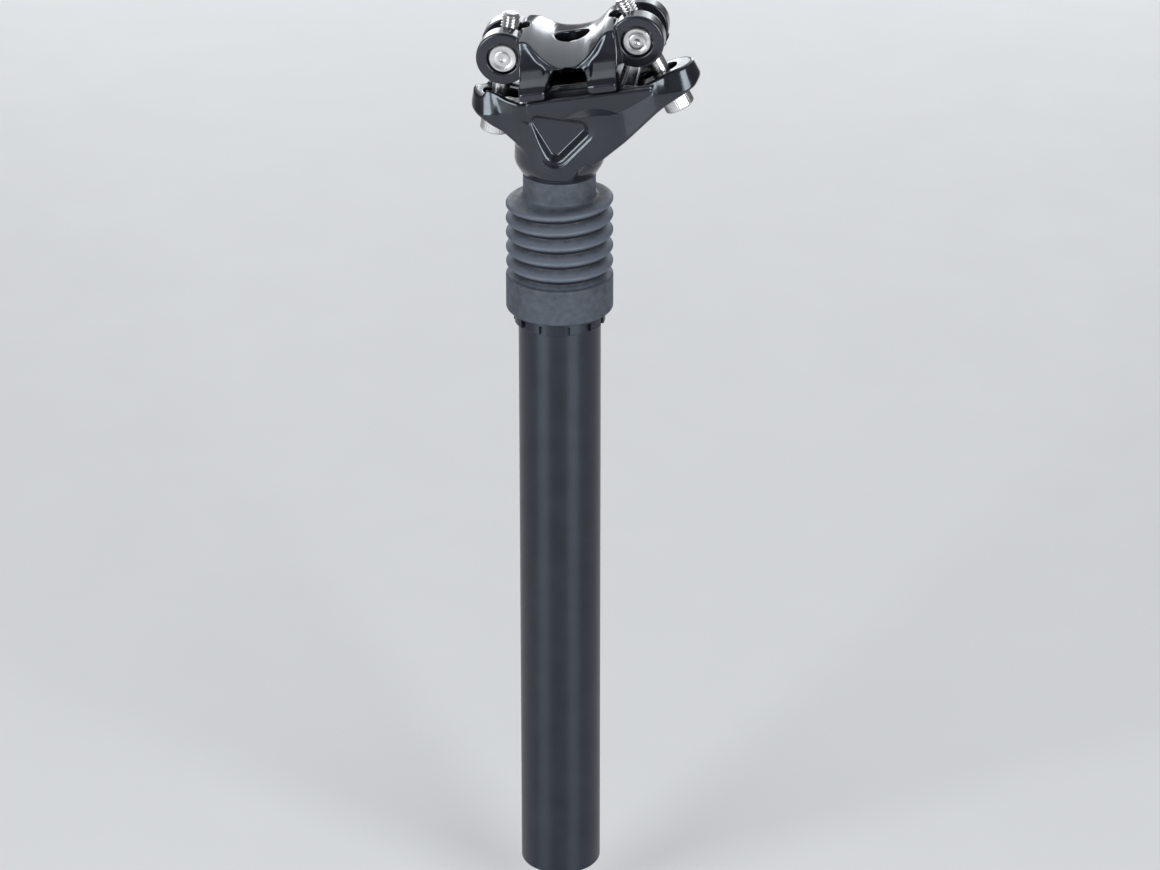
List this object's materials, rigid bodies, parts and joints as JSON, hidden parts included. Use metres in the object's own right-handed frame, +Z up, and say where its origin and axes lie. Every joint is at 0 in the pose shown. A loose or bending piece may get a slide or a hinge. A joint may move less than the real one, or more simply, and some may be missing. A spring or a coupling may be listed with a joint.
{
  "type": "suspension seatpost",
  "caption": "Telescopic bicycle seatpost with a spring-loaded sliding head, a bellows boot over the slider and a tilting two-bolt clamp for saddle rails.",
  "frame": {"origin": "on the tube axis at the open lower end of the fixed tube", "axes": "+Z up along the tube axis, +X towards the rear of the bicycle, +Y towards its left side"},
  "size_m": [0.0757, 0.054, 0.3181],
  "materials": {
    "gloss_black_forging": "gloss black coating over forged aluminium",
    "black_anodised_tube": "satin black anodised, finely turned",
    "boot_rubber": "matt moulded rubber",
    "bright_steel": "bright plated steel",
    "spring_steel": "ground and oiled steel",
    "natural_plastic": "smooth natural bearing plastic",
    "dark_plastic": "smooth dark plastic",
    "amber_elastomer": "translucent cast elastomer"
  },
  "bodies": {
    "lower_tube": {"outer_tube": "black_anodised_tube", "top_cap_nut": "black_anodised_tube", "upper_guide_bushing": "natural_plastic", "wiper_seal": "boot_rubber", "anti_rotation_key_1": "bright_steel", "anti_rotation_key_2": "bright_steel", "anti_rotation_key_3": "bright_steel", "anti_rotation_key_4": "bright_steel", "bellows_boot": "boot_rubber", "main_spring": "spring_steel"},
    "sliding_head": {"head_forging": "gloss_black_forging", "stanchion_tube": "spring_steel", "lower_guide_bushing": "natural_plastic", "retaining_ring": "bright_steel", "top_out_bumper": "amber_elastomer", "upper_spring_seat": "dark_plastic"},
    "saddle_clamp": {"lower_cradle": "gloss_black_forging", "upper_clamp": "gloss_black_forging"},
    "front_bolt": {"clamp_bolt_front": "bright_steel", "bolt_washer_front": "bright_steel"},
    "rear_bolt": {"clamp_bolt_rear": "bright_steel", "bolt_washer_rear": "bright_steel"},
    "front_nut": {"barrel_nut_front": "bright_steel"},
    "rear_nut": {"barrel_nut_rear": "bright_steel"},
    "spring_seat": {"lower_spring_seat": "dark_plastic", "elastomer_core": "amber_elastomer"},
    "preload_plug": {"preload_plug": "black_anodised_tube"}
  },
  "joints": [
    {"name": "suspension_travel", "type": "slide", "parent": "lower_tube", "child": "sliding_head", "axis": [0, 0, 1], "range_m": [-0.02, 0], "stiffness_N_per_m": 15000, "springref_m": 0.012, "deforming": ["bellows_boot", "main_spring"]},
    {"name": "clamp_tilt", "type": "hinge", "parent": "sliding_head", "child": "saddle_clamp", "pos_m": [0.0021, 0, 0.3159], "axis": [0, -1, 0], "range_deg": [-8, 8]},
    {"name": "front_bolt_swing", "type": "hinge", "parent": "sliding_head", "child": "front_bolt", "pos_m": [-0.0207, 0, 0.27227], "axis": [0, -1, 0], "range_deg": [-6.5, 6.5]},
    {"name": "rear_bolt_swing", "type": "hinge", "parent": "sliding_head", "child": "rear_bolt", "pos_m": [0.03845, 0, 0.28269], "axis": [0, -1, 0], "range_deg": [-6.5, 6.5]},
    {"name": "front_nut_turn", "type": "hinge", "parent": "saddle_clamp", "child": "front_nut", "pos_m": [-0.01704, 0, 0.29831], "axis": [0, -1, 0], "range_deg": [-14.5, 14.5]},
    {"name": "rear_nut_turn", "type": "hinge", "parent": "saddle_clamp", "child": "rear_nut", "pos_m": [0.0261, 0, 0.30592], "axis": [0, -1, 0], "range_deg": [-14.5, 14.5]},
    {"name": "preload_slide", "type": "slide", "parent": "lower_tube", "child": "spring_seat", "axis": [0, 0, 1], "range_m": [0, 0.0066], "deforming": ["main_spring"]},
    {"name": "preload_turn", "type": "hinge", "parent": "spring_seat", "child": "preload_plug", "pos_m": [0, 0, 0], "axis": [0, 0, 1], "range_deg": [0, 1440]}
  ],
  "couplings": [
    {"joint": "front_bolt_swing", "follows": "clamp_tilt", "ratio": -0.7618},
    {"joint": "rear_bolt_swing", "follows": "clamp_tilt", "ratio": -0.7618},
    {"joint": "front_nut_turn", "follows": "clamp_tilt", "ratio": -1.7618},
    {"joint": "rear_nut_turn", "follows": "clamp_tilt", "ratio": -1.7618},
    {"joint": "preload_slide", "follows": "preload_turn", "m_per_rad": 0.00023873}
  ]
}
